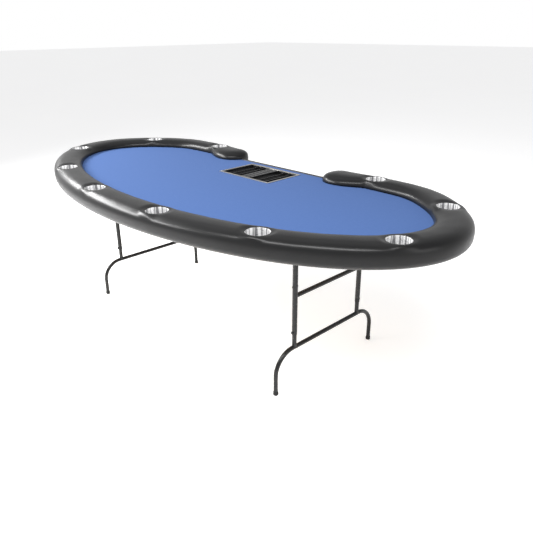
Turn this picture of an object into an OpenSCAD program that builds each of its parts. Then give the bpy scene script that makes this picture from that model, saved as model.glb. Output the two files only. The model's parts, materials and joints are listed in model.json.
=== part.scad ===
// Oval card table: a padded C-shaped armrest round a cloth playing surface, ten drop-in cup
// holders, a chip tray at the dealer's side, and two folding leg frames with telescoping feet.
// Millimetres. +Z up, floor at z = 0. +X along the length, +Y towards the dealer's side.
// Angles that place things round the oval are the ellipse parameter, seen from above.

/* [Top outline] */
// overall length of the padded oval
table_l = 2438; // [1800:2:2600]
// width of the full ellipse that the players' side follows
oval_w = 1294; // [1000:2:1500]
// how far the straight back stretches of the armrest's centre line lie behind the ellipse centre
back_reach = 415; // [330:1:480]
// sharpness of the bend from the ellipse into the straight back stretches
back_sharpness = 20; // [8:1:40]
// straight dealer's edge of the deck, behind the ellipse centre
dealer_cut = 365; // [280:1:400]

/* [Armrest] */
// padding on each side of a cup on the straight back stretches
cup_side = 18.5; // [14:0.5:30]
// how much wider the armrest is round the players' side than on the back stretches
rail_extra = 24; // [0:1:50]
// full height of the padded armrest
rail_h = 100; // [80:1:130]
// roundness of the armrest's outer side, 2 is a true ellipse
outer_round = 2.8; // [2:0.1:5]
// roundness of the armrest's inner shoulder
inner_round = 2.5; // [2:0.1:5]
// radius of the club-shaped armrest ends
nose_r = 86; // [70:1:110]
// distance of each armrest end's centre from the middle of the table
nose_x = 388; // [330:1:480]
// how far the armrest ends' centres lie behind the ellipse centre
nose_y = 385; // [330:1:430]

/* [Heights and boards] */
// top of the armrest above the floor
rail_top = 756; // [700:1:820]
// armrest top above the playing cloth
rail_rise = 42; // [25:1:60]
// thickness of the foam pad and cloth
pad_t = 6; // [3:0.5:12]
// thickness of the plywood deck
deck_t = 18; // [12:1:25]
// thickness of the plywood ring inside the armrest
ring_t = 18; // [9:1:25]
// height of the skirt ring below the deck
skirt_h = 22; // [12:1:30]
// thickness of the skirt ring
skirt_t = 9; // [6:1:12]
// width of the black edging on the dealer's edge
edge_w = 14; // [6:1:20]
// How far the edging stands above the cloth
edge_lift = 5; // [0:0.5:10]

/* [Cup holders] */
// bore of a cup holder
cup_bore = 86; // [70:1:90]
// wall of a cup holder
cup_wall = 1; // [0.6:0.1:2]
// depth of a cup holder
cup_depth = 68; // [50:1:75]
// rim overhang beyond the cup's outside
cup_rim = 5; // [3:0.5:6]
// rim thickness
cup_rim_t = 1.6; // [1:0.1:3]
// how far the rim lies below the armrest's crown
cup_sink = 7; // [3:0.5:12]

/* [Chip tray] */
// outside length of the tray frame
tray_l = 352; // [250:1:420]
// outside depth of the tray frame, front to back
tray_w = 233; // [160:1:250]
// front edge of the tray frame behind the ellipse centre
tray_front = 103; // [60:1:130]
// width of the metal frame
tray_frame_w = 11; // [8:0.5:18]
// frame height above the cloth
tray_frame_t = 2; // [1:0.5:4]
// depth of the tray below the cloth
tray_deep = 31; // [24:1:31]
// chip channels on each side of the divider
tray_rows = 3; // [1:1:3]
// diameter of a chip channel
chip_d = 40; // [38:0.5:42]
// width of the raised divider
divider_w = 62; // [50:1:80]
// how far the frame overlaps the cloth round the cut-out
tray_lap = 4; // [3:0.5:8]
// wall of the tray's tub
tray_wall = 8; // [6:0.5:12]

/* [Leg frames] */
// distance of each leg frame from the middle of the table
leg_x = 672; // [560:1:760]
// how far the leg frames' centre lies in front of the ellipse centre
leg_back = 25; // [0:1:60]
// half the distance between the two tubes of a frame
tube_y = 209; // [170:1:260]
// half the distance between the two feet of a frame
foot_y = 317; // [260:1:380]
// clearance between the folded frames and the bottom of the chip tray
fold_clear = 3.5; // [2:0.5:10]
// outside diameter of the upper tubes
upper_d = 22; // [20:0.5:30]
// wall of the upper tubes
upper_wall = 1.5; // [1:0.1:2.5]
// lower end of the upper tubes above the floor
upper_end = 242; // [220:1:300]
// height of the crossbar's centre
cross_z = 415; // [380:1:480]
// height of the stop rivets
stop_z = 456; // [440:1:520]
// diameter of the crossbar
cross_d = 19; // [16:0.5:22]
// wall of the lower tubes
lower_wall = 1.3; // [1:0.1:2]
// diameter of the bent foot bar
foot_d = 19; // [16:0.5:22]
// height of the foot bar's centre
foot_bar_z = 182; // [150:1:210]
// wall of the foot bar
foot_wall = 1.5; // [1:0.1:2.5]
// bend radius of the foot bar's centre line
foot_bend = 96; // [60:1:110]
// height of the foot caps
cap_h = 16; // [10:1:25]

/* [Adjustment and folding] */
// height of the locking pins
pin_z = 252; // [250:1:280]
// distance between two locking holes
hole_pitch = 15; // [12:1:20]
// number of higher settings
settings = 6; // [2:1:6]
// diameter of a locking pin
pin_d = 7; // [5:0.5:8]
// steel thickness of the fold brackets
bracket_t = 2.5; // [2:0.5:4]
// radius of the arc slot about the fold axis
slot_r = 38; // [32:1:46]
// diameter of the fold pivots and clamp bolts
pivot_d = 8; // [6:0.5:10]
// diameter of a clamp knob
knob_d = 34; // [26:1:40]

/* [Hidden] */
$fn = 64;
gap = 0.3;              // between separate pieces that only lie side by side
shrink = 0.05;          // radial running clearance of a shaft or tube in its hole
half_l = table_l / 2;
half_w = oval_w / 2;
cup_out = cup_bore / 2 + cup_wall;
rail_back_w = 2 * (cup_out + cup_side);
rail_w = rail_back_w + rail_extra;
mid_a = half_l - rail_w / 2;
mid_b = half_w - rail_w / 2;
oval_y = (half_w - back_reach - rail_back_w / 2) / 2;   // the origin is under the outline's middle
pad_top = rail_top - rail_rise;
deck_top = pad_top - pad_t;
deck_low = deck_top - deck_t;
ring_top = deck_top + ring_t;
skirt_low = deck_low - skirt_h;
rail_low = rail_top - rail_h;
rail_mid = rail_top - rail_h / 2;
cut_y = oval_y + dealer_cut;
in_share = 0.07;        // boards' inner edge as a share of the armrest's width
out_share = 0.88;       // boards' outer edge
under_share = 0.70;     // how far the padding turns in under the skirt
cup_share = 0.48;       // cup centres on the back stretches
front_cup_share = 0.54; // and on the wider front
nose_clear = 1;         // between the raised edging and the noses of the armrest
rim_z = rail_top - cup_sink;
cup_angles = [27.4, 60.2, 118.3, 151.6, 198.8, 233.5, 258.8, 282.6, 307.6, 341.1];
tray_mid_y = oval_y + tray_front + tray_w / 2;
leg_y = oval_y - leg_back;
pivot_drop = tray_deep - pad_t - deck_t + foot_d / 2 + fold_clear;
pivot_z = deck_low - pivot_drop;
lower_d = upper_d - 2 * upper_wall - 2 * shrink;
lower_top = stop_z - 12;

// ---- outline of the armrest ----------------------------------------------------------------

function ease(t) = let (c = min(max(t, 0), 1)) c * c * (3 - 2 * c);
function mix(a, b, t) = a + (b - a) * t;
// the smaller of two lengths, with a soft change from one to the other
function soft_min(a, b) = b * pow(1 + pow(b / a, back_sharpness), -1 / back_sharpness);

// share of the change from the straight back stretch into the club-shaped end
function nose_share(x) = ease((1.44 * nose_x - abs(x)) / (0.41 * nose_x));
function back_y(x) = mix(back_reach, nose_y, nose_share(x));
// centre line of the armrest at ellipse parameter t, t from -90 to 90 on the right half
function mid_y(t) = let (y = mid_b * sin(t)) y <= 1 ? y : soft_min(y, back_y(mid_a * cos(t)));
// half the armrest's width across its centre line
function ellipse_half(t) =
    rail_w / 2 * (mid_b * pow(cos(t), 2) + mid_a * pow(sin(t), 2))
    / norm([mid_b * cos(t), mid_a * sin(t)]);
function back_share(t) = sin(t) <= 0 ? 0 : ease((0.83 * mid_a - mid_a * cos(t)) / (0.22 * mid_a));
function half_width(t) =
    mix(mix(ellipse_half(t), rail_back_w / 2, back_share(t)), nose_r,
        sin(t) <= 0 ? 0 : nose_share(mid_a * cos(t)));

wide_steps = 50;        // stations from the front middle to the start of the straight stretch
back_steps = 14;        // stations from there to the end's centre
nose_steps = 8;         // stations round the end
turn_t = acos(1.6 * nose_x / mid_a);
nose_t = acos(nose_x / mid_a);
nose_mid = mid_y(nose_t);
board_station = wide_steps + back_steps + 5;    // the boards stop here, inside the padded end

// a station: x, y of the centre line, half the width, share of the full height
function arc_station(t) = [mid_a * cos(t), mid_y(t), half_width(t), 1];
function end_station(a) =
    [nose_x - nose_r * sin(a), nose_mid, nose_r * cos(a), pow(1 - pow(sin(a), 2.6), 1 / 2.6)];
right_half = concat(
    [for (i = [0 : wide_steps]) arc_station(mix(-90, turn_t, i / wide_steps))],
    [for (i = [1 : back_steps]) arc_station(mix(turn_t, nose_t, i / back_steps))],
    [for (i = [1 : nose_steps]) end_station(min(i * 90 / nose_steps, 86.5))]);
last = len(right_half) - 1;
function mirrored(s) = [-s[0], s[1], s[2], s[3]];
stations = concat([for (i = [last : -1 : 1]) mirrored(right_half[i])], right_half);
count = len(stations);
board_from = last - board_station;
board_to = last + board_station;

// unit vector away from the playing area at station i
function outward(i) =
    let (a = stations[max(i - 1, 0)], b = stations[min(i + 1, count - 1)],
         d = [b[0] - a[0], b[1] - a[1]])
    [d[1], -d[0]] / norm(d);
// plan point at station i, share f of the width out from the inner edge, moved out by extra
function plan(i, f, extra = 0) =
    let (s = stations[i]) [s[0], s[1] + oval_y] + outward(i) * ((2 * f - 1) * s[2] + extra);

// plan of a C-shaped ring between two shares of the armrest's width, grown by e all round
module ring_plan(f_in, f_out, e = 0)
    polygon(concat([for (i = [board_from : board_to]) plan(i, f_out, e)],
                   [for (i = [board_to : -1 : board_from]) plan(i, f_in, -e)]));

// plan of the deck: the outer edge of the boards, closed along the dealer's edge
module deck_plan(e = 0) {
    left_end = plan(board_from, out_share, e);
    right_end = plan(board_to, out_share, e);
    polygon(concat([for (i = [board_from : board_to]) plan(i, out_share, e)],
                   [[right_end[0], cut_y + e], [left_end[0], cut_y + e]]));
}

// plan point at ellipse parameter t all the way round, share f of the width from the inner edge
function oval_place(t, f) =
    let (u = acos(abs(cos(t))), s = sin(t) < 0 ? -u : u,
         n = [mid_b * cos(t), sin(t) > 0.6 ? mid_a : mid_a * sin(t)])
    [mid_a * cos(t), mid_y(s) + oval_y] + n / norm(n) * (2 * f - 1) * half_width(s);
function cup_place(i) =
    let (t = cup_angles[i]) oval_place(t, sin(t) < 0 ? front_cup_share : cup_share);

module at_cups() {
    for (i = [0 : len(cup_angles) - 1])
        translate(cup_place(i))
            children();
}

module cup_bores(r, z0, z1)
    at_cups()
        translate([0, 0, z0])
            cylinder(h = z1 - z0, r = r);

// ---- table top -----------------------------------------------------------------------------

tray_hole_l = tray_l - 2 * tray_lap;
tray_hole_w = tray_w - 2 * tray_lap;

module tray_block(l, w, z0, z1)
    translate([-l / 2, tray_mid_y - w / 2, z0])
        cube([l, w, z1 - z0]);

module deck_board()
    color("burlywood")
        difference() {
            translate([0, 0, deck_low])
                linear_extrude(deck_t)
                    deck_plan();
            tray_block(tray_hole_l, tray_hole_w, deck_low - 1, deck_top + 1);
            cup_bores(cup_out + 0.5, deck_low - 1, deck_top + 1);
            at_ring_screws()
                cylinder(h = 3 * deck_t, r = ring_screw_r + shrink, center = true);
            at_frames()
                at_bracket_screws()
                    cylinder(h = bracket_t + bracket_screw_deep + 0.5, r = bracket_screw_r + shrink);
        }

module playing_pad()
    color("cornflowerblue")
        difference() {
            translate([0, 0, deck_top])
                linear_extrude(pad_t)
                    intersection() {
                        polygon([for (i = [0 : count - 1]) plan(i, in_share - 0.025)]);
                        translate([-half_l, oval_y - half_w])
                            square([table_l, half_w + dealer_cut]);
                    }
            tray_block(tray_hole_l, tray_hole_w, deck_top - 1, pad_top + 1);
        }

module rail_ring()
    color("tan")
        difference() {
            translate([0, 0, deck_top])
                linear_extrude(ring_t)
                    ring_plan(in_share, out_share);
            cup_bores(cup_out + 0.5, deck_top - 1, ring_top + 1);
            at_ring_screws()
                cylinder(h = deck_t + ring_t - 5.5, r = ring_screw_r + shrink);
        }

module skirt_ring()
    color("peru")
        difference() {
            translate([0, 0, skirt_low])
                linear_extrude(skirt_h)
                    polygon(concat(
                        [for (i = [board_from : board_to]) plan(i, out_share)],
                        [for (i = [board_to : -1 : board_from]) plan(i, out_share, -skirt_t)]));
            cup_bores(cup_out + 0.5, skirt_low - 1, deck_low + 1);
        }

module dealer_edge() {
    x_end = plan(board_to, out_share)[0];
    x_lift = nose_x - nose_r - nose_clear;
    color("black")
        for (part = [[x_end, 0], [x_lift, edge_lift]])
            translate([-part[0], cut_y + gap, deck_low])
                cube([2 * part[0], edge_w, deck_t + pad_t + part[1]]);
}

// Section of the padding as [share of width, height]: in at the cloth, over the crown, down the
// round outer side and in under the skirt. top is the crown's height at this station.
section_steps = 6;
lip_z = pad_top + gap;
function inner_curve(k, top) =
    let (a = 90 * k / section_steps, u = pow(cos(a), 2 / inner_round))
    [0.5 - 0.5 * u, lip_z + (top - lip_z) * pow(sin(a), 2 / inner_round)];
function outer_curve(k, top) =
    let (a = 90 * k / section_steps, u = pow(sin(a), 2 / outer_round))
    [0.5 + 0.5 * u, rail_mid + (top - rail_mid) * pow(cos(a), 2 / outer_round)];
function under_curve(k) =
    let (f = mix(1, under_share, pow(k / section_steps, 1.6)), u = 2 * f - 1)
    [f, rail_mid - rail_h / 2 * pow(1 - pow(u, outer_round), 1 / outer_round)];
function section(top) = concat(
    [for (k = [0 : section_steps]) inner_curve(k, top)],
    [for (k = [1 : section_steps]) outer_curve(k, top)],
    [for (k = [1 : section_steps]) under_curve(k)],
    [[under_share, lip_z]]);
section_n = len(section(rail_top));

module cushion_block() {
    points = [for (i = [0 : count - 1])
        let (top = mix(lip_z, rail_top, stations[i][3]))
        for (q = section(top)) let (p = plan(i, q[0])) [p[0], p[1], q[1]]];
    sides = [for (i = [0 : count - 2], k = [0 : section_n - 1])
        let (m = (k + 1) % section_n, a = i * section_n, b = a + section_n)
        each [[a + k, a + m, b + m], [a + k, b + m, b + k]]];
    first_cap = [[for (k = [section_n - 1 : -1 : 0]) k]];
    last_cap = [[for (k = [0 : section_n - 1]) (count - 1) * section_n + k]];
    polyhedron(points, concat(sides, first_cap, last_cap));
}

// plan of the room for the ring: its inner corners lie half-way between the padding's own
// stations, and its ends half a station beyond the ring's
ring_room = 1.1;
function between(i, f, extra) = (plan(i, f, extra) + plan(i + 1, f, extra)) / 2;
module ring_room_plan()
    polygon(concat(
        [between(board_from - 1, out_share, gap)],
        [for (i = [board_from : board_to]) plan(i, out_share, gap)],
        [between(board_to, out_share, gap)],
        [for (i = [board_to : -1 : board_from - 1]) between(i, in_share, -ring_room)]));

module rail_cushion()
    color("dimgray")
        difference() {
            cushion_block();
            translate([0, 0, skirt_low - gap])
                linear_extrude(deck_top + gap - skirt_low)
                    deck_plan(gap);
            translate([0, 0, deck_top - 1])
                linear_extrude(ring_t + 1 + gap)
                    ring_room_plan();
            cup_bores(cup_out + gap, rail_low - 1, rim_z);
            cup_bores(cup_out + cup_rim + gap, rim_z - cup_rim_t - gap, rail_top + 1);
        }

// pan-head screws up through the deck into the armrest's ring, between the cups
screw_angles = [10, 44, 67.5, 112.5, 136, 170, 183, 216, 246, 270, 294, 324, 357];
ring_screw_r = 2.2;

module at_ring_screws()
    for (t = screw_angles)
        translate(concat(oval_place(t, 0.5), [deck_low]))
            children();

module ring_screws()
    color("silver")
        at_ring_screws() {
            translate([0, 0, -2.4])
                cylinder(h = 2.4, r = 5);
            cylinder(h = deck_t + ring_t - 6, r = ring_screw_r);
        }

module cup(i)
    color("gainsboro")
        translate(cup_place(i))
            translate([0, 0, rim_z - cup_depth])
                rotate_extrude($fn = 96)
                    polygon([[0, 0], [cup_out - 3, 0], [cup_out, 3], [cup_out, cup_depth - cup_rim_t],
                             [cup_out + cup_rim, cup_depth - cup_rim_t],
                             [cup_out + cup_rim, cup_depth - 0.5], [cup_out + cup_rim - 0.5, cup_depth],
                             [cup_out - cup_wall + 0.4, cup_depth], [cup_out - cup_wall, cup_depth - 0.6],
                             [cup_out - cup_wall, 3.5], [cup_out - cup_wall - 2.5, cup_wall],
                             [0, cup_wall]]);

module cup_1() cup(0);
module cup_2() cup(1);
module cup_3() cup(2);
module cup_4() cup(3);
module cup_5() cup(4);
module cup_6() cup(5);
module cup_7() cup(6);
module cup_8() cup(7);
module cup_9() cup(8);
module cup_10() cup(9);

// ---- chip tray -----------------------------------------------------------------------------

tub_l = tray_hole_l - 2;
tub_w = tray_hole_w - 2;
tray_bottom = pad_top - tray_deep;
bank_l = (tub_l - 2 * tray_wall - divider_w) / 2;
channel_l = tub_w - 2 * tray_wall;
channel_z = pad_top - 6;                // axis height of the chip channels
tray_screw_r = 1.3;
tray_screw_deep = 9;

module tray_frame()
    color("silver")
        difference() {
            tray_block(tray_l, tray_w, pad_top, pad_top + tray_frame_t);
            tray_block(tray_l - 2 * tray_frame_w, tray_w - 2 * tray_frame_w, pad_top - 1,
                       pad_top + tray_frame_t + 1);
            at_tray_screws()
                cylinder(h = 4 * tray_frame_t, r = tray_screw_r + shrink, center = true);
        }

module at_tray_screws()
    for (x = [-1, 0, 1], y = [-1, 1])
        translate([x * (tub_l - tray_wall) / 2, tray_mid_y + y * (tub_w - tray_wall) / 2,
                   pad_top + tray_frame_t])
            children();

module tray_screws()
    color("lightgray")
        at_tray_screws() {
            cylinder(h = 0.8, r = 2.4);
            translate([0, 0, -tray_screw_deep])
                cylinder(h = tray_screw_deep, r = tray_screw_r);
        }

// the tub hangs from the frame, and both lift out; chips lie on edge in half-round channels on
// both sides of a raised divider with slots for the dealer's button and card
module chip_tray()
    color("black")
        difference() {
            tray_block(tub_l, tub_w, tray_bottom, pad_top);
            for (side = [-1, 1], k = [0 : tray_rows - 1])
                translate([side * (divider_w / 2 + bank_l * (k + 0.5) / tray_rows), tray_mid_y,
                           channel_z])
                    rotate([90, 0, 0])
                        cylinder(h = channel_l, d = min(chip_d, bank_l / tray_rows - 1.5),
                                 center = true);
            for (side = [-1, 1])
                translate([side * (divider_w + bank_l) / 2 - (bank_l - 1.5) / 2,
                           tray_mid_y - channel_l / 2, channel_z])
                    cube([bank_l - 1.5, channel_l, 20]);
            for (k = [-3 : 3])
                translate([-divider_w / 2 + 8, tray_mid_y + k * channel_l / 8 - 3, pad_top - 12])
                    cube([divider_w - 16, 6, 20]);
            at_tray_screws()
                translate([0, 0, -tray_screw_deep - 0.5])
                    cylinder(h = tray_screw_deep + 1, r = tray_screw_r + shrink);
        }

// ---- leg frames ----------------------------------------------------------------------------

// everything below is drawn for the right-hand frame, which folds towards -X; the left-hand
// frame is the same turned half round, so front and back change places on it
module left_side()
    translate([0, 2 * leg_y, 0])
        rotate([0, 0, 180])
            children();

module at_tubes()
    for (side = [-1, 1])
        translate([leg_x, leg_y + side * tube_y, 0])
            children();

module at_tube(side)
    translate([leg_x, leg_y + side * tube_y, 0])
        children();

// cylinder along Y about the given height, centred on a tube
module cross_pin(z, r, l)
    translate([0, 0, z])
        rotate([90, 0, 0])
            cylinder(h = l, r = r, center = true);

cheek_in = upper_d / 2 + 0.8;           // inner face of a bracket cheek from the tube's centre
cheek_r = slot_r + 13;
base_back = 24;                         // base plate beyond the fold axis, on the outer side
base_l = cheek_r + base_back + 13;
base_half = cheek_in + bracket_t + 18;
bracket_screw_r = 2.4;
bracket_screw_deep = deck_t - 4;        // into the deck

// side plate in X, Z about the fold axis: a quarter disc with an arc slot, and a neck up to the base
module cheek_plan()
    difference() {
        union() {
            circle(r = 15);
            intersection() {
                circle(r = cheek_r, $fn = 128);
                translate([-cheek_r, -cheek_r])
                    square(cheek_r + 8);
            }
            translate([-cheek_r + 2, 0])
                square([cheek_r + 13, pivot_drop]);
        }
        circle(d = pivot_d + 2 * shrink);
        intersection() {
            difference() {
                circle(r = slot_r + pivot_d / 2 + 0.1, $fn = 128);
                circle(r = slot_r - pivot_d / 2 - 0.1, $fn = 128);
            }
            translate([-cheek_r, -cheek_r])
                square(cheek_r);
        }
        translate([0, -slot_r])
            circle(d = pivot_d + 0.2);
        translate([-slot_r, 0])
            circle(d = pivot_d + 0.2);
    }

module at_bracket_screws()
    at_tubes()
        for (x = [base_back - 10, base_back - base_l + 10], side = [-1, 1])
            translate([x, side * (base_half - 9), deck_low - bracket_t])
                children();

module at_frames() {
    children();
    left_side()
        children();
}

module brackets()
    color("darkslategray")
        difference() {
            at_tubes() {
                translate([base_back - base_l, -base_half, deck_low - bracket_t])
                    cube([base_l, 2 * base_half, bracket_t]);
                for (side = [-1, 1])
                    translate([0, side * (cheek_in + bracket_t / 2) + bracket_t / 2, pivot_z])
                        rotate([90, 0, 0])
                            linear_extrude(bracket_t)
                                cheek_plan();
            }
            at_bracket_screws()
                cylinder(h = 3 * bracket_t, r = bracket_screw_r + 0.2, center = true);
        }

module bracket_screws()
    color("silver")
        at_bracket_screws() {
            translate([0, 0, -2.6])
                cylinder(h = 2.6, r = 4.6);
            cylinder(h = bracket_t + bracket_screw_deep, r = bracket_screw_r);
        }

module headed_pin(z, d, grip, head_r, head_h) {
    cross_pin(z, d / 2, grip + 0.02);
    for (side = [-1, 1])
        translate([0, side * (grip / 2 + head_h / 2 + 0.01), 0])
            cross_pin(z, head_r, head_h);
}

module pivots()
    color("silver")
        at_tubes()
            headed_pin(pivot_z, pivot_d, 2 * (cheek_in + bracket_t), 7, 2.5);

module upper_tubes()
    color("black")
        at_tubes()
            difference() {
                translate([0, 0, upper_end])
                    cylinder(h = pivot_z + 11 - upper_end, d = upper_d);
                translate([0, 0, upper_end - 1])
                    cylinder(h = pivot_z + 13 - upper_end, d = upper_d - 2 * upper_wall);
                cross_pin(pivot_z, pivot_d / 2 + shrink, 2 * upper_d);
                cross_pin(pivot_z - slot_r, pivot_d / 2 + shrink, 2 * upper_d);
                cross_pin(stop_z, 3 + shrink, 2 * upper_d);
                cross_pin(pin_z, pin_d / 2 + shrink, 2 * upper_d);
            }

module crossbar()
    color("black")
        translate([leg_x, leg_y, cross_z])
            difference() {
                rotate([90, 0, 0])
                    cylinder(h = 2 * tube_y, d = cross_d, center = true);
                rotate([90, 0, 0])
                    cylinder(h = 2 * tube_y + 2, d = cross_d - 2.6, center = true);
                for (side = [-1, 1])
                    translate([0, side * tube_y, 0])
                        cylinder(h = 2 * cross_d, r = upper_d / 2 + 0.02, center = true);
            }

module stop_rivets()
    color("dimgray")
        at_tubes()
            headed_pin(stop_z, 6, upper_d, 5, 2.4);

module knob(side)
    color("black")
        at_tube(side)
            translate([0, 0, pivot_z - slot_r])
                rotate([side > 0 ? -90 : 90, 0, 0]) {
                    reach = cheek_in + bracket_t;
                    translate([0, 0, -reach - 5])
                        cylinder(h = 2 * reach + 6, d = pivot_d);
                    translate([0, 0, -reach - 5])
                        cylinder(h = 4.6, d = 13, $fn = 6);
                    translate([0, 0, reach + 0.4])
                        cylinder(h = 7, d = 16);
                    translate([0, 0, reach + 7])
                        difference() {
                            cylinder(h = 13, d = knob_d);
                            for (k = [0 : 5])
                                rotate([0, 0, 60 * k])
                                    translate([knob_d / 2 + 4.5, 0, -1])
                                        cylinder(h = 15, r = 8);
                        }
                }

module lower_tubes()
    color("black")
        at_tubes()
            difference() {
                translate([0, 0, foot_bar_z])
                    cylinder(h = lower_top - foot_bar_z, d = lower_d);
                translate([0, 0, foot_bar_z - 1])
                    cylinder(h = lower_top - foot_bar_z + 2, d = lower_d - 2 * lower_wall);
                rotate([90, 0, 0])
                    translate([0, foot_bar_z, 0])
                        cylinder(h = 4 * foot_d, d = foot_d + 0.04, center = true);
                for (k = [0 : settings])
                    cross_pin(pin_z + k * hole_pitch, pin_d / 2 + shrink, 2 * upper_d);
            }

// inverted U: a bar, two quarter bends and two straight legs down into the caps
module foot_path(d, reach)
    translate([leg_x, leg_y, 0]) {
        translate([0, 0, foot_bar_z])
            rotate([90, 0, 0])
                cylinder(h = 2 * (foot_y - foot_bend), d = d, center = true);
        for (side = [0, 180])
            rotate([0, 0, side]) {
                translate([0, foot_y - foot_bend, foot_bar_z - foot_bend])
                    rotate([90, 0, 90])
                        rotate_extrude(angle = 90)
                            translate([foot_bend, 0])
                                circle(d = d);
                translate([0, foot_y, cap_h / 2 - reach])
                    cylinder(h = foot_bar_z - foot_bend - cap_h / 2 + reach, d = d);
            }
    }

module foot_bar()
    color("black")
        difference() {
            foot_path(foot_d, 0);
            foot_path(foot_d - 2 * foot_wall, 1);
        }

module foot_caps()
    color("black")
        for (side = [-1, 1])
            translate([leg_x, leg_y + side * foot_y, 0])
                rotate_extrude()
                    polygon([[0, 0], [foot_d / 2 - 1, 0], [foot_d / 2 + 1.5, 3],
                             [foot_d / 2 + 1.5, cap_h], [foot_d / 2 + 0.02, cap_h],
                             [foot_d / 2 + 0.02, cap_h / 2 - 0.02], [0, cap_h / 2 - 0.02]]);

// through pin with a flat pull head on the outer side and a bullet tip on the inner side
module lock_pin(side)
    color("dimgray")
        at_tube(side)
            translate([0, 0, pin_z])
                rotate([side > 0 ? -90 : 90, 0, 0])
                    rotate_extrude()
                        polygon([[0, -upper_d / 2 - 5], [pin_d / 2 - 1.6, -upper_d / 2 - 4.5],
                                 [pin_d / 2, -upper_d / 2 - 1.5], [pin_d / 2, upper_d / 2 + 0.3],
                                 [6.5, upper_d / 2 + 0.3], [6.5, upper_d / 2 + 3],
                                 [5, upper_d / 2 + 4.5], [0, upper_d / 2 + 4.5]]);

module right_brackets() brackets();
module right_bracket_screws() bracket_screws();
module right_pivots() pivots();
module right_upper_tubes() upper_tubes();
module right_crossbar() crossbar();
module right_stop_rivets() stop_rivets();
module right_knob_front() knob(-1);
module right_knob_back() knob(1);
module right_lower_tubes() lower_tubes();
module right_foot_bar() foot_bar();
module right_foot_caps() foot_caps();
module right_pin_front() lock_pin(-1);
module right_pin_back() lock_pin(1);
module left_brackets() left_side() brackets();
module left_bracket_screws() left_side() bracket_screws();
module left_pivots() left_side() pivots();
module left_upper_tubes() left_side() upper_tubes();
module left_crossbar() left_side() crossbar();
module left_stop_rivets() left_side() stop_rivets();
module left_knob_front() left_side() knob(1);
module left_knob_back() left_side() knob(-1);
module left_lower_tubes() left_side() lower_tubes();
module left_foot_bar() left_side() foot_bar();
module left_foot_caps() left_side() foot_caps();
module left_pin_front() left_side() lock_pin(1);
module left_pin_back() left_side() lock_pin(-1);

deck_board();
playing_pad();
rail_ring();
skirt_ring();
rail_cushion();
dealer_edge();
ring_screws();
cup_1();
cup_2();
cup_3();
cup_4();
cup_5();
cup_6();
cup_7();
cup_8();
cup_9();
cup_10();
tray_frame();
tray_screws();
chip_tray();
left_brackets();
left_bracket_screws();
left_pivots();
left_upper_tubes();
left_crossbar();
left_stop_rivets();
left_knob_front();
left_knob_back();
left_lower_tubes();
left_foot_bar();
left_foot_caps();
left_pin_front();
left_pin_back();
right_brackets();
right_bracket_screws();
right_pivots();
right_upper_tubes();
right_crossbar();
right_stop_rivets();
right_knob_front();
right_knob_back();
right_lower_tubes();
right_foot_bar();
right_foot_caps();
right_pin_front();
right_pin_back();
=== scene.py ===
"""Oval poker table: padded black armrest, blue cloth, steel cup holders, chip tray, folding legs.

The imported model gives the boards, tray, legs and fittings. The armrest, the playing cloth, the cup
holders and the dealer's edging are made here as finer surfaces. Metres throughout.
"""
import json
import math
import bpy
import numpy as np
from mathutils import Matrix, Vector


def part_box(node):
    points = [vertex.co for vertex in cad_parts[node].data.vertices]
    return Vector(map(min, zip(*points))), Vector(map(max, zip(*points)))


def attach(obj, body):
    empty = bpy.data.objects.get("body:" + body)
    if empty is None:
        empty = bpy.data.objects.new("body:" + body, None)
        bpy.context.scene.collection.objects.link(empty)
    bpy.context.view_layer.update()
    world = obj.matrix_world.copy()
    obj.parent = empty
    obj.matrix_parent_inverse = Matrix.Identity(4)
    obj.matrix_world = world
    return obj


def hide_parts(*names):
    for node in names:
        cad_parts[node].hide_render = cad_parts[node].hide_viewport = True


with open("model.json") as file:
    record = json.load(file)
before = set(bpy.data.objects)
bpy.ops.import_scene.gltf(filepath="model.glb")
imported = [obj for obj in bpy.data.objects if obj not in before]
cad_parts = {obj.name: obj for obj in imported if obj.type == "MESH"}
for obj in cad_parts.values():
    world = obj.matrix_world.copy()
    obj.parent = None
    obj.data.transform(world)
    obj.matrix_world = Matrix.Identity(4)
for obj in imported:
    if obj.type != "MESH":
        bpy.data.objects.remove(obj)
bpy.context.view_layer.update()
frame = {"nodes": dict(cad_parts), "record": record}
nodes = frame["nodes"]

# ---- sizes of the table top ----------------------------------------------------------------

OVAL_Y = 0.08475            # ellipse centre behind the middle of the outline
MID_A, MID_B = 1.1445, 0.5725   # half axes of the armrest's centre line
RAIL_W, BACK_W = 0.149, 0.125   # armrest's width round the players and on the back stretches
BACK_REACH, SHARPNESS = 0.415, 20.0             # back stretches: how far back, how sharp the turn
NOSE_X, NOSE_Y, NOSE_R = 0.388, 0.385, 0.086    # centre and radius of the armrest's two ends
NOSE_CROWN = 2.6                                # superellipse power of the crown over an end
CROWN, MIDDLE, LOW = 0.756, 0.706, 0.656        # heights of the armrest
CLOTH_TOP, DECK_TOP, RING_TOP, SKIRT_LOW = 0.714, 0.708, 0.726, 0.668
GAP = 0.0003                # between the padding and what it lies against
LIP = CLOTH_TOP + GAP
INNER_ROUND, OUTER_ROUND = 2.5, 2.8             # superellipse powers of its section
UNDER_SHARE = 0.70          # how far the padding turns in under the skirt
CUT_Y = 0.44975             # dealer's straight edge
EDGE_LIFT, EDGE_CLEAR = 0.005, 0.001   # its edging above the cloth, and short of the noses
EDGE_ROUND = 3.2            # superellipse power of the edging: flat face, soft corners
CUP_ANGLES = [27.4, 60.2, 118.3, 151.6, 198.8, 233.5, 258.8, 282.6, 307.6, 341.1]
CUP_SHARE, FRONT_CUP_SHARE = 0.48, 0.54         # cup centres at the back and on the front
CUP_RIM_R, CUP_RIM_Z, CUP_OUT, CUP_BORE, CUP_FLOOR = 0.049, 0.749, 0.044, 0.043, 0.681
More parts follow.
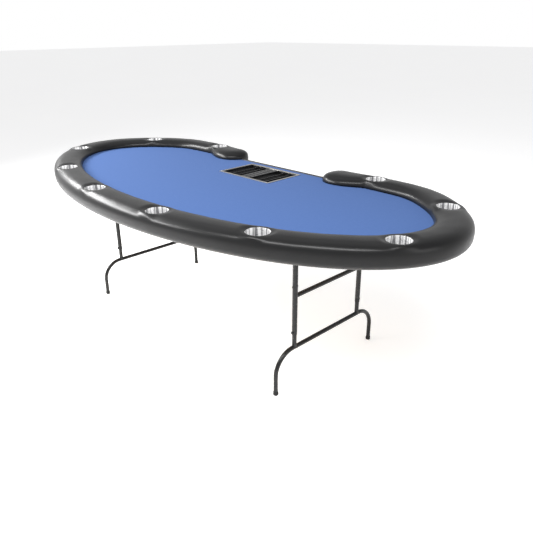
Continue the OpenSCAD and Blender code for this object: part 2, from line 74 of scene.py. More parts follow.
ROLL_R = 0.0452             # the vinyl rolls in over a cup's rim to this radius
TRAY_Y, TRAY_HOLE_L, TRAY_HOLE_W = 0.30425, 0.344, 0.225


def ease(t):
    """Smooth step: c*c*(3-2c) with c held between 0 and 1."""
    c = np.clip(t, 0.0, 1.0)
    return c * c * (3 - 2 * c)


def mix(a, b, t):
    """Straight mix of a and b by t."""
    return a + (b - a) * t


# ---- meshes --------------------------------------------------------------------------------


def mesh_piece(name, points, faces, uvs=None, smooth=True):
    """A mesh object at the origin from an array of points and a list or array of faces."""
    mesh = bpy.data.meshes.new(name)
    mesh.from_pydata(np.asarray(points).tolist(), [], [list(map(int, f)) for f in faces])
    mesh.polygons.foreach_set("use_smooth", np.full(len(mesh.polygons), smooth))
    if uvs is not None:
        layer = mesh.uv_layers.new(name="along")
        loops = np.empty(len(mesh.loops), np.int32)
        mesh.loops.foreach_get("vertex_index", loops)
        layer.data.foreach_set("uv", np.asarray(uvs, np.float32)[loops].ravel())
    mesh.validate()
    mesh.update()
    piece = bpy.data.objects.new(name, mesh)
    bpy.context.scene.collection.objects.link(piece)
    return piece


def grid_faces(rows, columns, closed_rows=False, closed_columns=False):
    """Quads of a rows by columns grid of points numbered row by row."""
    i = np.arange(rows if closed_rows else rows - 1)
    j = np.arange(columns if closed_columns else columns - 1)
    i, j = np.meshgrid(i, j, indexing="ij")
    i2, j2 = (i + 1) % rows, (j + 1) % columns
    quads = np.stack([i * columns + j, i2 * columns + j, i2 * columns + j2, i * columns + j2], -1)
    return quads.reshape(-1, 4)


# ---- the armrest's centre line -------------------------------------------------------------


def nose_share(x):
    """How much the end's shape holds at x: all of it up to 1.03 NOSE_X, none from 1.44 NOSE_X on."""
    return ease((1.44 * NOSE_X - np.abs(x)) / (0.41 * NOSE_X))


def centre_line():
    """Right half of the armrest from the front middle to the tip of its end, then mirrored.

    An ellipse (a cos t, b sin t) whose back is cut off by the soft minimum of its height and the
    straight back stretch, (1 + (back/y)^20)^(-1/20) * back. The end is a circle of radius r about
    its last point: x - r sin a, half width r cos a, crown share (1 - sin(a)^2.6)^(1/2.6).
    """
    nose_t = math.acos(NOSE_X / MID_A)
    t = np.linspace(-math.pi / 2, nose_t, 4001)
    y = MID_B * np.sin(t)
    back = mix(BACK_REACH, NOSE_Y, nose_share(MID_A * np.cos(t)))
    high = y > 0.001
    y[high] = back[high] * (1 + (back[high] / y[high]) ** SHARPNESS) ** (-1 / SHARPNESS)
    x = MID_A * np.cos(t)
    x[0] = 0.0
    reach = np.hypot(MID_B * np.cos(t), MID_A * np.sin(t))
    half = RAIL_W / 2 * (MID_B * np.cos(t) ** 2 + MID_A * np.sin(t) ** 2) / reach
    behind = np.sin(t) > 0
    half = mix(half, BACK_W / 2, np.where(behind, ease((0.83 * MID_A - x) / (0.22 * MID_A)), 0))
    half = mix(half, NOSE_R, np.where(behind, nose_share(x), 0))
    a = np.linspace(0, math.pi / 2, 500)[1:]
    x = np.concatenate([x, NOSE_X - NOSE_R * np.sin(a)])
    y = np.concatenate([y, np.full(len(a), y[-1])])
    half = np.concatenate([half, NOSE_R * np.cos(a)])
    full = np.concatenate([np.ones(len(t)),
                           np.maximum(1 - np.sin(a) ** NOSE_CROWN, 0) ** (1 / NOSE_CROWN)])
    turn = np.concatenate([np.zeros(len(t)), a])
    return [np.concatenate([s * q[:0:-1], q]) for s, q in
            ((-1, x), (1, y + OVAL_Y), (1, half), (1, full), (1, turn))]


LINE_X, LINE_Y, LINE_HALF, LINE_FULL, LINE_TURN = centre_line()
LINE_S = np.concatenate([[0], np.cumsum(np.hypot(np.diff(LINE_X), np.diff(LINE_Y)))])
_dx, _dy = np.gradient(LINE_X), np.gradient(LINE_Y)
_length = np.maximum(np.hypot(_dx, _dy), 1e-12)
LINE_TX, LINE_TY = _dx / _length, _dy / _length


def at(s, values):
    """Values along the centre line at length s."""
    return np.interp(s, LINE_S, values)


def place(s, f):
    """Plan point at length s along the armrest, share f of its width from the inner edge."""
    tx, ty = at(s, LINE_TX), at(s, LINE_TY)
    n = np.hypot(tx, ty)
    out = (2 * f - 1) * at(s, LINE_HALF)
    return at(s, LINE_X) + ty / n * out, at(s, LINE_Y) - tx / n * out


def locate(x, y, s):
    """Length and share of plan points: s moves by the leftover along the line until none is left."""
    for _ in range(30):
        tx, ty = at(s, LINE_TX), at(s, LINE_TY)
        s = s + (x - at(s, LINE_X)) * tx + (y - at(s, LINE_Y)) * ty
    out = (x - at(s, LINE_X)) * ty - (y - at(s, LINE_Y)) * tx
    return s, 0.5 + out / (2 * at(s, LINE_HALF))


def oval_place(angle, f):
    """Plan point at an ellipse angle all the way round, share f of the armrest's width."""
    t = math.radians(angle)
    right = np.arange(len(LINE_S) // 2, len(LINE_S))
    right = right[LINE_TURN[right] == 0]
    angles = np.linspace(-math.pi / 2, math.acos(NOSE_X / MID_A), len(right))
    u = math.acos(abs(math.cos(t))) * (-1 if math.sin(t) < 0 else 1)
    k = right[np.argmin(np.abs(angles - u))]
    n = np.array([MID_B * math.cos(t), MID_A if math.sin(t) > 0.6 else MID_A * math.sin(t)])
    n = n / np.linalg.norm(n) * (2 * f - 1) * LINE_HALF[k]
    return MID_A * math.cos(t) + n[0], LINE_Y[k] + n[1]


CUPS = [oval_place(a, FRONT_CUP_SHARE if a > 180 else CUP_SHARE) for a in CUP_ANGLES]

# ---- the armrest ---------------------------------------------------------------------------

INNER_STEPS, OUTER_STEPS, UNDER_STEPS, PATCH_ROWS = 15, 15, 9, 9
STATION = 0.0078                      # between stations along the line
ROOM_IN, ROOM_OUT = 0.064, 0.8825     # shares of the width that hold the boards
BARE_TOP = 0.7093                     # inside height at the ends, past the boards
DIP = 0.030                           # how far round a cup the vinyl is drawn to its rim
ROLL_TOP = 0.0012                     # top of the roll above the rim
SAG = 0.00045                         # size of the foam's slow unevenness
WINDOW_WIDE, WINDOW_LONG = 0.0045, 0.010    # a patch's margin past the rim, across and along
PATCH_SPREAD = 1.15                   # draws the rows of a patch together towards the rim


def crown_height(f, top):
    """Top of the padding: superellipse quarters of power 2.5 inside and 2.8 outside."""
    inward, out = np.clip(1 - 2 * f, 0, 1), np.clip(2 * f - 1, 0, 1)
    inside = LIP + (top - LIP) * np.maximum(1 - inward ** INNER_ROUND, 0) ** (1 / INNER_ROUND)
    outside = MIDDLE + (top - MIDDLE) * np.maximum(1 - out ** OUTER_ROUND, 0) ** (1 / OUTER_ROUND)
    return np.where(f < 0.5, inside, outside)


def top_shares():
    """Shares of the width over the top, closer together where the section is steep."""
    a = np.linspace(0, math.pi / 2, INNER_STEPS + 1)
    b = np.linspace(0, math.pi / 2, OUTER_STEPS + 1)[1:]
    return np.concatenate([0.5 - 0.5 * np.cos(a) ** (2 / INNER_ROUND),
                           0.5 + 0.5 * np.sin(b) ** (2 / OUTER_ROUND)])


def vinyl_height(s, f):
    """Height of the vinyl: the crown, drawn to each cup's rim, with a slow unevenness of the foam.

    Round a cup the height goes to the rim's by a smooth step over 30 mm, held off near the lip and
    the outer side. The unevenness is a sum of three sines of the length.
    """
    x, y = place(s, f)
    top = mix(LIP, CROWN, at(s, LINE_FULL))
    z = crown_height(f, top)
    pull = np.zeros_like(z)
    for cx, cy in CUPS:
        r = np.hypot(x - cx, y - cy)
        pull = np.maximum(pull, 1 - ease((r - ROLL_R - 0.0005) / DIP))
    pull = pull * ease(f / 0.075) * ease((1 - f) / 0.06)
    z = mix(z, CUP_RIM_Z + ROLL_TOP, pull)
    quiet = ease(f / 0.2) * ease((1 - f) / 0.15) * (1 - pull) * ease((at(s, LINE_FULL) - 0.6) / 0.4)
    wave = np.sin(s * 23.0 + 1.3) + 0.7 * np.sin(s * 41.0 + f * 5) + 0.5 * np.sin(s * 67.0 - f * 9 + 2)
    return z - SAG * quiet * (1 + wave / 2.2)


def sheet_of(s, shares, z):
    """Points at every station and share of the width; z gives their heights, or is a function for them."""
    F = np.array(np.broadcast_to(shares, (len(s), shares.shape[-1])))
    S = np.repeat(s[:, None], F.shape[1], 1)
    X, Y = place(S, F)
    return np.stack([X, Y, z(S, F) if callable(z) else np.broadcast_to(z, X.shape)], -1)


def joined(previous, now):
    """Quads between two closed rows of the same number of points."""
    return np.stack([previous, np.roll(previous, -1), np.roll(now, -1), now], -1)


def armrest():
    """The padded armrest as one closed skin.

    A section is carried along the centre line: over the top from the lip at the cloth to the outer
    side, in under the skirt, up the inside of the room for the boards, and back over them. Round
    each cup a window of the grid gives way to a patch that runs from the window's edge to the
    rim's circle, and a bore joins the top to the room for the boards.
    """
    # stations STATION apart along the line, with extra ones where the half width closes at the ends
    measure = np.concatenate([[0], np.cumsum(np.hypot(np.diff(LINE_S), np.diff(LINE_HALF)))])
    count = int(measure[-1] / STATION)
    s = np.interp(np.linspace(0, measure[-1], count), measure, LINE_S)
    boards = 1 - ease((at(s, LINE_TURN) - math.radians(57)) / math.radians(6))
    f_top = top_shares()
    top_points = sheet_of(s, f_top, vinyl_height)
    # under the skirt
    k = np.linspace(0, 1, UNDER_STEPS + 1)[1:]
    f_under = mix(1, UNDER_SHARE, k ** 1.6)
    z_under = MIDDLE - (MIDDLE - LOW) * (1 - (2 * f_under - 1) ** OUTER_ROUND) ** (1 / OUTER_ROUND)
    under_points = sheet_of(s, f_under, z_under)
    # inner wall of the turned-in padding, then the room for the boards
    ring_high, skirt_under = RING_TOP + GAP, SKIRT_LOW - GAP
    wall_x, wall_y = place(s, np.full(count, UNDER_SHARE))
    wall_points = np.stack([wall_x, wall_y, mix(BARE_TOP, skirt_under, boards)], -1)[:, None]
    z_out = mix(ring_high, skirt_under, (f_top - ROOM_OUT) / (1 - ROOM_OUT))
    z_in = mix(ring_high, LIP, (ROOM_IN - f_top) / ROOM_IN)
    z_room = np.where(f_top > ROOM_OUT, z_out, np.where(f_top < ROOM_IN, z_in, ring_high))
    f_bare = mix(ROOM_IN, UNDER_SHARE - 0.01, np.linspace(0, 1, len(f_top)))
    B = boards[:, None]
    F = mix(f_bare[None], np.clip(f_top, ROOM_IN, ROOM_OUT)[None], B)
    room_points = sheet_of(s, F, mix(BARE_TOP, z_room[None], B))[:, ::-1]
    sections = np.concatenate([top_points, under_points, wall_points, room_points], 1)
    columns = sections.shape[1]
    points = [sections.reshape(-1, 3)]
    faces = grid_faces(count, columns, closed_columns=True)
    keep = np.ones(len(faces), bool)
    cell = np.arange(len(faces)).reshape(count - 1, columns)
    used, patches = count * columns, []

    def room_of(j):
        """Column over the boards at the same share of the width as column j of the top."""
        return columns - 1 - j

    for cx, cy in CUPS:
        nearest = np.argmin(np.hypot(LINE_X - cx, LINE_Y - cy))
        s_c, f_c = locate(np.array([cx]), np.array([cy]), np.array([LINE_S[nearest]]))
        s_c, f_c = s_c[0], f_c[0]
        need = (CUP_RIM_R + WINDOW_WIDE) / (2 * at(s_c, LINE_HALF))
        i0 = np.searchsorted(s, s_c - CUP_RIM_R - WINDOW_LONG) - 1
        i1 = np.searchsorted(s, s_c + CUP_RIM_R + WINDOW_LONG)
        j0 = np.searchsorted(f_top, f_c - need) - 1
        j1 = np.searchsorted(f_top, f_c + need)
        keep[cell[i0:i1, j0:j1]] = False
        keep[cell[i0:i1, room_of(j1):room_of(j0)]] = False
        ring = ([(i, j0) for i in range(i0, i1)] + [(i1, j) for j in range(j0, j1)]
                + [(i, j1) for i in range(i1, i0, -1)] + [(i0, j) for j in range(j1, j0, -1)])
        ri, rj = np.array(ring).T
        n = len(ring)
        ls, lf = s[ri], f_top[rj]
        lx, ly = place(ls, lf)
        angle = np.arctan2(ly - cy, lx - cx)
        previous = ri * columns + rj
        ex, ey = cx + (ROLL_R + 0.0008) * np.cos(angle), cy + (ROLL_R + 0.0008) * np.sin(angle)
        es, ef = locate(ex, ey, np.full(n, s_c))
        for k in range(1, PATCH_ROWS + 1):
            q = 1 - (1 - k / PATCH_ROWS) ** PATCH_SPREAD
            ps, pf = mix(ls, es, q), mix(lf, ef, q)
            px, py = place(ps, pf)
            points.append(np.stack([px, py, vinyl_height(ps, pf)], -1))
            now = used + np.arange(n)
            used += n
            patches.append(joined(previous, now))
            previous = now
        # over the rim's edge, back under the roll, round the rim and down the bore to the boards
        for r, z in ((ROLL_R + 0.0001, CUP_RIM_Z + 0.0008), (ROLL_R, CUP_RIM_Z + 0.0004),
                     (ROLL_R + 0.0006, CUP_RIM_Z + 0.0002), (CUP_RIM_R + GAP, CUP_RIM_Z + 0.0002),
                     (CUP_RIM_R + GAP, CUP_RIM_Z - 0.0020), (CUP_OUT + 0.0012, CUP_RIM_Z - 0.0022),
                     (CUP_OUT + 0.0004, CUP_RIM_Z - 0.0040), (CUP_OUT + 0.0004, RING_TOP + 0.010),
                     (CUP_OUT + 0.0004, ring_high)):
            points.append(np.stack([cx + r * np.cos(angle), cy + r * np.sin(angle), np.full(n, z)], -1))
            now = used + np.arange(n)
            used += n
            patches.append(joined(previous, now))
            previous = now
        room_ring = ri * columns + room_of(rj)
        patches.append(joined(previous, room_ring))
    points = np.concatenate(points)
    caps = [list((np.arange(columns) + end * columns)[::turn]) for end, turn in ((0, 1), (count - 1, -1))]
    quads = np.concatenate([faces[keep]] + patches)
    return mesh_piece("armrest_padding", points, list(quads) + caps)


# ---- the playing cloth ---------------------------------------------------------------------


def playing_cloth():
    """Foam pad under tight cloth: a grid whose columns run from the players' side to the dealer's.

    Every column is cut at the same shares of its length outside the tray's cut-out, and at the
    cut-out's own edges beside it. The sides turn down in a quarter round to the deck.
    """
    front = np.argmin(np.abs(LINE_X))
    right = np.arange(front, len(LINE_S))
    right = right[LINE_FULL[right] > 0.35]
    bx, by = place(LINE_S[right], np.full(len(right), 0.046))
    far = np.argmax(bx)
    tip = bx[far] - 0.0005
    low_x, low_y = bx[: far + 1], by[: far + 1]
    high_x, high_y = bx[far:][::-1], by[far:][::-1]
    half_hole = TRAY_HOLE_L / 2
    inner = np.linspace(0, half_hole, 13)
    outer = half_hole + (tip - half_hole) * np.sin(np.linspace(0, math.pi / 2, 60)[1:])
    x = np.concatenate([-outer[::-1], -inner[::-1][:-1], inner, outer])
    ax = np.abs(x)
    y0 = np.interp(ax, low_x, low_y)
    y1 = np.minimum(np.where(ax < high_x[0], CUT_Y, np.interp(ax, high_x, high_y)), CUT_Y)
    middle = len(x) // 2
    at_hole = [np.interp(half_hole, ax[middle:], q[middle:]) for q in (y0, y1)]
    cuts = []
    for edge in (TRAY_Y - TRAY_HOLE_W / 2, TRAY_Y + TRAY_HOLE_W / 2):
        share = (edge - at_hole[0]) / (at_hole[1] - at_hole[0])
        cuts.append(np.where(ax <= half_hole + 1e-9, edge, mix(y0, y1, share)))
    before, beside, behind = 24, 10, 4        # rows in front of the cut-out, beside it and behind it
    bands = [np.linspace(0, 1, before + 1)] + [np.linspace(0, 1, n + 1)[1:] for n in (beside, behind)]
    edges = [q[:, None] for q in (y0, *cuts, y1)]
    y = np.concatenate([mix(edges[k], edges[k + 1], bands[k]) for k in range(3)], 1)
    rows, columns = y.shape
    z = CLOTH_TOP - 0.00012 * (1 + np.sin(9 * x[:, None] + 4 * y) * np.cos(7 * y - 3 * x[:, None]))
    points = np.stack([np.broadcast_to(x[:, None], y.shape), y, z], -1).reshape(-1, 3)
    faces = grid_faces(rows, columns)
    mid = x[:-1] / 2 + x[1:] / 2
    row = np.arange(columns - 1)[None]
    hole = (np.abs(mid) < half_hole)[:, None] & (row >= before) & (row < before + beside)
    faces = faces[~hole.ravel()]
    pad = mesh_piece("playing_cloth", points, faces)
    thick = pad.modifiers.new("foam", "SOLIDIFY")
    thick.thickness, thick.offset = CLOTH_TOP - DECK_TOP - GAP, -1
    edge = pad.modifiers.new("edge", "BEVEL")
    edge.width, edge.segments, edge.limit_method, edge.angle_limit = 0.0012, 2, "ANGLE", 0.9
    return pad


# ---- cup holders and edging ----------------------------------------------------------------


def cup_holder(number, cx, cy):
    """Drawn steel cup with a rolled rim: a profile of radius and height turned about the cup's axis."""
    t = 0.001
    roll = np.linspace(-math.pi / 2, math.pi / 2, 9)
    heel = np.linspace(-math.pi / 2, 0, 7)
    rise = np.linspace(0, math.pi / 2, 6)
    r = np.concatenate([
        [0.0, 0.012, 0.030], CUP_OUT - 0.004 + 0.004 * np.cos(heel), [CUP_OUT, CUP_OUT, CUP_OUT + 0.0006],
        CUP_RIM_R - 0.0009 + 0.0009 * np.cos(roll), [CUP_OUT + 0.0012],
        CUP_BORE + 0.0012 - 0.0012 * np.sin(rise), [CUP_BORE, CUP_BORE, CUP_BORE],
        CUP_BORE - 0.004 + 0.004 * np.cos(heel[::-1]), [0.030, 0.0285, 0.027, 0.012, 0.0]])
    f = CUP_FLOOR
    z = np.concatenate([
        [f, f, f], f + 0.004 + 0.004 * np.sin(heel), [f + 0.02, CUP_RIM_Z - 0.0024, CUP_RIM_Z - 0.0018],
        CUP_RIM_Z - 0.0009 + 0.0009 * np.sin(roll), [CUP_RIM_Z],
        CUP_RIM_Z - 0.0012 + 0.0012 * np.cos(rise), [CUP_RIM_Z - 0.02, CUP_RIM_Z - 0.04, f + 0.012],
        f + t + 0.004 + 0.004 * np.sin(heel[::-1]), [f + t, f + t + 0.0008, f + t, f + t, f + t]])
    turns = 112
    a = np.linspace(0, 2 * math.pi, turns, endpoint=False)
    inner = slice(1, len(r) - 1)
    A, R = np.meshgrid(a, r[inner], indexing="ij")
    Z = np.broadcast_to(z[inner], A.shape)
    ring = np.stack([cx + R * np.cos(A), cy + R * np.sin(A), Z], -1).reshape(-1, 3)
    n = len(r) - 2
    poles = np.array([[cx, cy, z[0]], [cx, cy, z[-1]]])
    first, last = turns * n, turns * n + 1
    quads = grid_faces(turns, n, closed_rows=True)
    k = np.arange(turns)
    k2 = (k + 1) % turns
    fans = [[first, q * n, p * n] for p, q in zip(k, k2)]
    fans += [[last, p * n + n - 1, q * n + n - 1] for p, q in zip(k, k2)]
    along = np.concatenate([[0], np.cumsum(np.hypot(np.diff(r), np.diff(z)))])
    uv = np.stack([np.broadcast_to((np.minimum(a, 2 * math.pi - a) / math.pi)[:, None], A.shape),
                   np.broadcast_to(along[inner] / along[-1], A.shape)], -1).reshape(-1, 2)
    uv = np.concatenate([uv, [[0, 0], [0, 1]]])
    return mesh_piece(f"cup_holder_{number}", np.concatenate([ring, poles]), [*quads.tolist(), *fans], uv)


def dealer_edging():
    """Vinyl edging on the dealer's edge: a D-shaped profile carried straight along X.

    Between the noses it stands above the cloth by EDGE_LIFT, and steps down to the cloth at each nose.
    """
    (x0, y0, z0), (x1, y1, z1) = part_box("dealer_edge")
    w, flat = y1 - y0, z1 - EDGE_LIFT
    a = np.linspace(-math.pi / 2, math.pi / 2, 15)
    py = y0 + w * np.abs(np.cos(a)) ** (2 / EDGE_ROUND)
    share = 0.5 + 0.5 * np.sign(np.sin(a)) * np.abs(np.sin(a)) ** (2 / EDGE_ROUND)
    reach = NOSE_X - NOSE_R - EDGE_CLEAR
    x = np.concatenate([np.linspace(x0, -reach, 8), np.linspace(-reach + 0.006, reach - 0.006, 50),
                        np.linspace(reach, x1, 8)])
    top = np.where(np.abs(x) < reach - 0.003, z1, flat)
    X, P = np.meshgrid(x, np.arange(len(a)), indexing="ij")
    points = np.stack([X, py[P], z0 + (top[:, None] - z0) * share[P]], -1).reshape(-1, 3)
    quads = grid_faces(len(x), len(a), closed_columns=True)
    caps = [list(range(len(a)))[::-1], list(range((len(x) - 1) * len(a), len(x) * len(a)))]
    return mesh_piece("dealer_edging", points, [*quads.tolist(), *caps])


# ---- materials -----------------------------------------------------------------------------


class Finish:
    """A Principled material with helpers for its grain. Even values go straight on the shader."""

    def __init__(self, name, **sockets):
        self.material = bpy.data.materials.new(name)
        self.material.use_nodes = True
        self.tree = self.material.node_tree
        self.shader = next(n for n in self.tree.nodes if n.type == "BSDF_PRINCIPLED")
        self.coordinates = self.add("ShaderNodeTexCoord")
        for key, value in sockets.items():
            self.shader.inputs[key.replace("_", " ")].default_value = value

    def add(self, kind, **values):
        """A node with these input values; an underscore stands for a space in an input's name."""
        node = self.tree.nodes.new(kind)
        for key, value in values.items():
            node.inputs[key.replace("_", " ")].default_value = value
        return node

    def link(self, a, b):
        self.tree.links.new(a, b)

    def grain(self, scale, stretch=(1, 1, 1), detail=3.0, rough=0.5, uv=False):
        """Noise on the piece's own coordinates, stretched by a mapping."""
        mapping = self.add("ShaderNodeMapping", Scale=stretch)
        self.link(self.coordinates.outputs["UV" if uv else "Object"], mapping.inputs["Vector"])
        noise = self.add("ShaderNodeTexNoise", Scale=scale, Detail=detail, Roughness=rough)
        self.link(mapping.outputs["Vector"], noise.inputs["Vector"])
        return noise.outputs["Fac"]

    def pebbles(self, scale):
        """Cells like leather grain, on the piece's own coordinates."""
        cells = self.add("ShaderNodeTexVoronoi", Scale=scale)
        self.link(self.coordinates.outputs["Object"], cells.inputs["Vector"])
        return cells.outputs["Distance"]

    def colours(self, source, *stops):
        """Colour ramp over (place, colour) stops into the base colour."""
        ramp = self.add("ShaderNodeValToRGB")
        for k, (where, colour) in enumerate(stops):
            element = ramp.color_ramp.elements[k] if k < 2 else ramp.color_ramp.elements.new(where)
            element.position, element.color = where, (*colour, 1)
        self.link(source, ramp.inputs["Fac"])
        self.link(ramp.outputs["Color"], self.shader.inputs["Base Color"])

    def roughness(self, source, low, high):
        """Roughness from low to high over the middle of the noise's range."""
        node = self.add("ShaderNodeMapRange", From_Min=0.3, From_Max=0.7, To_Min=low, To_Max=high)
        self.link(source, node.inputs["Value"])
        self.link(node.outputs["Result"], self.shader.inputs["Roughness"])

    def bump(self, *layers):
        """Bump layers of (source, distance in metres, strength), one on another."""
        normal = None
        for source, distance, strength in layers:
            node = self.add("ShaderNodeBump", Distance=distance, Strength=strength)
            self.link(source, node.inputs["Height"])
            if normal is not None:
                self.link(normal, node.inputs["Normal"])
            normal = node.outputs["Normal"]
        self.link(normal, self.shader.inputs["Normal"])


def black_vinyl():
    """Smooth vinyl with a fine grain and a soft coat, slightly uneven over the foam."""
    m = Finish("black_vinyl", Specular_IOR_Level=0.12, Coat_Weight=0.36, Coat_Roughness=0.26)
    broad, fine, cells = m.grain(3.2, detail=2), m.grain(900, detail=4), m.pebbles(620)
    m.colours(broad, (0.3, (0.005, 0.005, 0.0053)), (0.7, (0.0078, 0.0078, 0.0082)))
    m.roughness(fine, 0.36, 0.46)
    m.bump((broad, 0.0016, 0.10), (cells, 0.00022, 0.35), (fine, 0.00008, 0.35))
    return m.material


def speed_cloth():
    """Blue cloth with its two thread directions and a short nap."""
    m = Finish("blue_cloth", Specular_IOR_Level=0.05, Sheen_Weight=0.04, Sheen_Roughness=0.5)
    warp = m.grain(520, stretch=(1, 7, 1), detail=2)
    weft = m.grain(520, stretch=(7, 1, 1), detail=2)
    nap = m.grain(70, detail=5, rough=0.7)
    m.colours(nap, (0.25, (0.056, 0.114, 0.292)), (0.75, (0.064, 0.126, 0.312)))
    m.roughness(warp, 0.82, 0.95)
    m.bump((warp, 0.00022, 0.45), (weft, 0.00022, 0.45), (nap, 0.0003, 0.25))
    return m.material


def drawn_steel():
    """Steel with lines round the cup and broad pale and grey bands of painted reflection, both on the UV
    map.
    """
    m = Finish("stainless_steel", Metallic=0.45)
    bands = m.grain(1.0, stretch=(13, 0.3, 1), detail=1, uv=True)
    fine = m.grain(1.0, stretch=(520, 3, 1), detail=3, uv=True)
    smudge = m.grain(60, detail=3)
    # painted reflection: pale and grey streaks in the base colour, with metallic kept low so that they
    # show
    m.colours(bands, (0.40, (0.26, 0.26, 0.27)), (0.46, (0.92, 0.92, 0.92)), (0.56, (1.0, 1.0, 1.0)),
              (0.62, (0.34, 0.34, 0.35)))
    m.roughness(smudge, 0.24, 0.34)
    m.bump((bands, 0.0006, 0.5), (fine, 0.00006, 0.5))
    return m.material


def satin_aluminium():
    """Aluminium brushed along X."""
    m = Finish("satin_aluminium", Metallic=1.0)
    lines = m.grain(60, stretch=(1, 60, 60), detail=3)
    blotch = m.grain(25, detail=3)
    m.colours(blotch, (0.3, (0.50, 0.49, 0.47)), (0.7, (0.60, 0.59, 0.57)))
    m.roughness(lines, 0.28, 0.42)
    m.bump((lines, 0.00006, 0.6))
    return m.material


def tray_moulding():
    """Black plastic with a faint swirl."""
    m = Finish("tray_plastic", Specular_IOR_Level=0.3)
    swirl, fine = m.grain(40, detail=3), m.grain(700, detail=3)
    m.colours(swirl, (0.3, (0.0065, 0.0065, 0.007)), (0.7, (0.0115, 0.0115, 0.012)))
    m.roughness(swirl, 0.22, 0.34)
    m.bump((fine, 0.00004, 0.4))
    return m.material


def powder_coat():
    """Black coat with a fine orange peel."""
    m = Finish("black_powder_coat", Specular_IOR_Level=0.3, Coat_Weight=0.2, Coat_Roughness=0.15)
    peel, specks = m.grain(420, detail=3), m.grain(90, detail=4)
    m.colours(specks, (0.3, (0.0045, 0.0045, 0.0048)), (0.7, (0.0075, 0.0075, 0.0078)))
    m.roughness(specks, 0.24, 0.36)
    m.bump((peel, 0.00016, 0.35))
    return m.material


def edging_vinyl():
    """Black edging, drawn out along X."""
    m = Finish("black_edging", Specular_IOR_Level=0.4)
    fine, long = m.grain(800, detail=3), m.grain(30, stretch=(0.2, 1, 1), detail=3)
    m.colours(long, (0.3, (0.010, 0.010, 0.0105)), (0.7, (0.016, 0.016, 0.0165)))
    m.roughness(long, 0.42, 0.55)
    m.bump((fine, 0.00008, 0.4))
    return m.material


def moulded_plastic():
    """Matt black plastic with a spark texture."""
    m = Finish("knob_plastic", Specular_IOR_Level=0.45)
    spark, soft = m.grain(1400, detail=2), m.grain(60, detail=3)
    m.colours(soft, (0.3, (0.011, 0.011, 0.011)), (0.7, (0.018, 0.018, 0.018)))
    m.roughness(soft, 0.42, 0.55)
    m.bump((spark, 0.0001, 0.5))
    return m.material


def foot_rubber():
    """Dull rubber, paler where it is dusty."""
    m = Finish("foot_rubber", Specular_IOR_Level=0.3)
    dust, fine = m.grain(120, detail=5), m.grain(900, detail=3)
    m.colours(dust, (0.3, (0.013, 0.013, 0.013)), (0.75, (0.030, 0.029, 0.028)))
    m.roughness(dust, 0.6, 0.8)
    m.bump((fine, 0.00012, 0.5))
    return m.material


def zinc_plate():
    """Zinc with small crystals and a blotched tone."""
    m = Finish("zinc_steel", Metallic=1.0)
    crystals, blotch = m.pebbles(260), m.grain(140, detail=3)
    m.colours(blotch, (0.3, (0.42, 0.42, 0.41)), (0.7, (0.56, 0.56, 0.55)))
    m.roughness(blotch, 0.26, 0.42)
    m.bump((crystals, 0.00008, 0.3))
    return m.material


def dark_oxide():
    """Dark oxide on small steel parts."""
    m = Finish("dark_oxide_steel", Metallic=0.6)
    blotch, fine = m.grain(150, detail=3), m.grain(700, detail=3)
    m.colours(blotch, (0.3, (0.018, 0.018, 0.019)), (0.7, (0.034, 0.034, 0.035)))
    m.roughness(blotch, 0.34, 0.48)
    m.bump((fine, 0.00006, 0.4))
    return m.material


def birch_plywood():
    """Pale ply with its figure and pores along X."""
    m = Finish("birch_plywood", Specular_IOR_Level=0.25)
    figure = m.grain(5.5, stretch=(1, 14, 60), detail=5, rough=0.6)
    pores = m.grain(60, stretch=(1, 16, 8), detail=3)
    m.colours(figure, (0.25, (0.33, 0.25, 0.17)), (0.5, (0.42, 0.33, 0.235)), (0.78, (0.50, 0.41, 0.30)))
    m.roughness(pores, 0.55, 0.75)
    m.bump((pores, 0.0003, 0.4), (figure, 0.0004, 0.2))
    return m.material


FINISHES = {
    "plywood": birch_plywood(), "cloth": speed_cloth(), "black_vinyl": black_vinyl(),
    "edging": edging_vinyl(), "stainless_steel": drawn_steel(), "satin_aluminium": satin_aluminium(),
    "tray_plastic": tray_moulding(), "knob_plastic": moulded_plastic(), "foot_rubber": foot_rubber(),
    "zinc_steel": zinc_plate(), "black_steel": powder_coat(), "dark_oxide": dark_oxide(),
}


def finish_with(piece, slot):
    """Gives a piece this finish and no other."""
    piece.data.materials.clear()
    piece.data.materials.append(FINISHES[slot])


for part in frame["record"]["subparts"]:
    dark = part["node"].endswith(("pin_front", "pin_back", "stop_rivets"))
    finish_with(nodes[part["node"]], "dark_oxide" if dark else part["material_slot"])


def add_piece(piece, slot, *stands_for):
    """Gives a new piece its finish and its body, and hides the nodes that it stands for."""
    finish_with(piece, slot)
    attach(piece, "table_top")
    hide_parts(*stands_for)
    return piece


add_piece(armrest(), "black_vinyl", "rail_cushion")
add_piece(playing_cloth(), "cloth", "playing_pad")
add_piece(dealer_edging(), "edging", "dealer_edge")
for k, (cup_x, cup_y) in enumerate(CUPS):
    add_piece(cup_holder(k + 1, cup_x, cup_y), "stainless_steel", f"cup_{k + 1}")

# ---- studio --------------------------------------------------------------------------------


def studio_floor():
    """A pale floor that gives off a little light of its own, so that it stays white to the horizon."""
    far = 40
    corners = [(-far, -far, 0), (far, -far, 0), (far, far, 0), (-far, far, 0)]
    floor = mesh_piece("studio_floor", corners, [(0, 1, 2, 3)], smooth=False)
    m = Finish("studio_floor", Specular_IOR_Level=0.1)
    m.colours(m.grain(0.7), (0.3, (0.93, 0.93, 0.93)), (0.7, (0.95, 0.95, 0.95)))
    m.shader.inputs["Roughness"].default_value = 0.9
    m.shader.inputs["Emission Color"].default_value = (1, 1, 1, 1)
    m.shader.inputs["Emission Strength"].default_value = 0.42
    floor.data.materials.append(m.material)


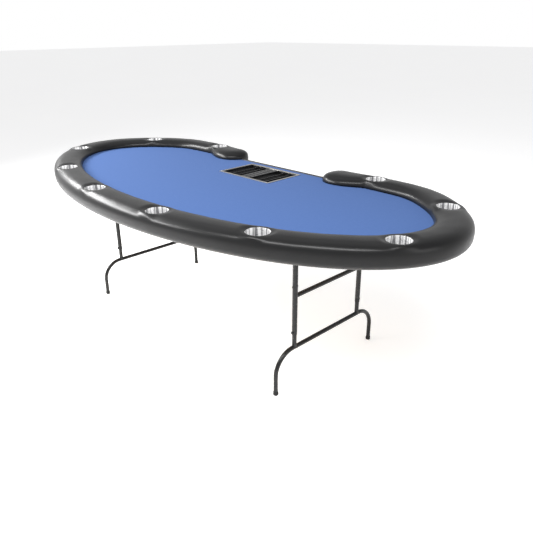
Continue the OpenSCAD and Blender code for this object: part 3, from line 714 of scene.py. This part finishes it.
def soft_light(name, position, target, size, power):
    """A rectangular lamp at position, facing target, with its long side level."""
    data = bpy.data.lights.new(name, "AREA")
    data.shape, data.size, data.size_y, data.energy = "RECTANGLE", size[0], size[1], power
    lamp = bpy.data.objects.new(name, data)
    bpy.context.scene.collection.objects.link(lamp)
    back = np.array(position, float) - np.array(target, float)
    back /= np.linalg.norm(back)
    side = np.cross([0, 0, 1.0], back)
    side = side / np.linalg.norm(side) if np.linalg.norm(side) > 1e-6 else np.array([1.0, 0, 0])
    up = np.cross(back, side)
    lamp.matrix_world = Matrix([[side[i], up[i], back[i], position[i]] for i in range(3)] + [[0, 0, 0, 1]])


studio_floor()
soft_light("overhead", (-0.3, 0.8, 3.6), (0, 0.1, 0.7), (3.6, 2.2), 12)
soft_light("front_bar", (-2.3, -1.5, 2.05), (-0.2, -0.4, 0.72), (3.6, 0.6), 165)
soft_light("corner_bar", (1.1, -1.55, 2.75), (0.6, -0.4, 0.72), (3.0, 0.5), 75)
soft_light("right_window", (4.2, 0.2, 1.6), (0.6, 0, 0.6), (1.6, 1.4), 14)


def studio_air(scene):
    """Even white behind the table; for the light, a room white at eye level and dimmer above."""
    world = bpy.data.worlds.new("studio_air")
    world.use_nodes = True
    tree = world.node_tree
    shown = tree.nodes["Background"]
    shown.inputs["Color"].default_value = (1, 1, 1, 1)
    room = tree.nodes.new("ShaderNodeBackground")
    where = tree.nodes.new("ShaderNodeTexCoord")
    split = tree.nodes.new("ShaderNodeSeparateXYZ")
    height = tree.nodes.new("ShaderNodeValToRGB")
    low, high = height.color_ramp.elements
    low.position, low.color = 0.05, (0.85, 0.85, 0.85, 1)
    high.position, high.color = 0.6, (0.42, 0.42, 0.425, 1)
    path = tree.nodes.new("ShaderNodeLightPath")
    both = tree.nodes.new("ShaderNodeMixShader")
    link = tree.links.new
    link(where.outputs["Generated"], split.inputs["Vector"])
    link(split.outputs["Z"], height.inputs["Fac"])
    link(height.outputs["Color"], room.inputs["Color"])
    link(path.outputs["Is Camera Ray"], both.inputs["Fac"])
    link(room.outputs["Background"], both.inputs[1])
    link(shown.outputs["Background"], both.inputs[2])
    link(both.outputs["Shader"], tree.nodes["World Output"].inputs["Surface"])
    scene.world = world


scene = bpy.context.scene
studio_air(scene)
scene.view_settings.view_transform = "Standard"

# ---- camera --------------------------------------------------------------------------------

yaw, pitch, roll = math.radians(-45.895), math.radians(23.2335), math.radians(-0.411)
forward = np.array([math.sin(yaw) * math.cos(pitch), math.cos(yaw) * math.cos(pitch), -math.sin(pitch)])
right = np.array([math.cos(yaw), -math.sin(yaw), 0.0])
up = np.cross(right, forward)
right, up = right * math.cos(roll) + up * math.sin(roll), up * math.cos(roll) - right * math.sin(roll)
lens = bpy.data.cameras.new("camera")
lens.sensor_width, lens.lens, lens.shift_x = 36.0, 37.70, 0.0034
lens.clip_start, lens.clip_end = 0.05, 200.0
camera = bpy.data.objects.new("camera", lens)
scene.collection.objects.link(camera)
eye = (2.0107, -1.6126, 1.3928)
camera.matrix_world = Matrix([[right[i], up[i], -forward[i], eye[i]] for i in range(3)] + [[0, 0, 0, 1]])
scene.camera = camera

bpy.context.view_layer.update()
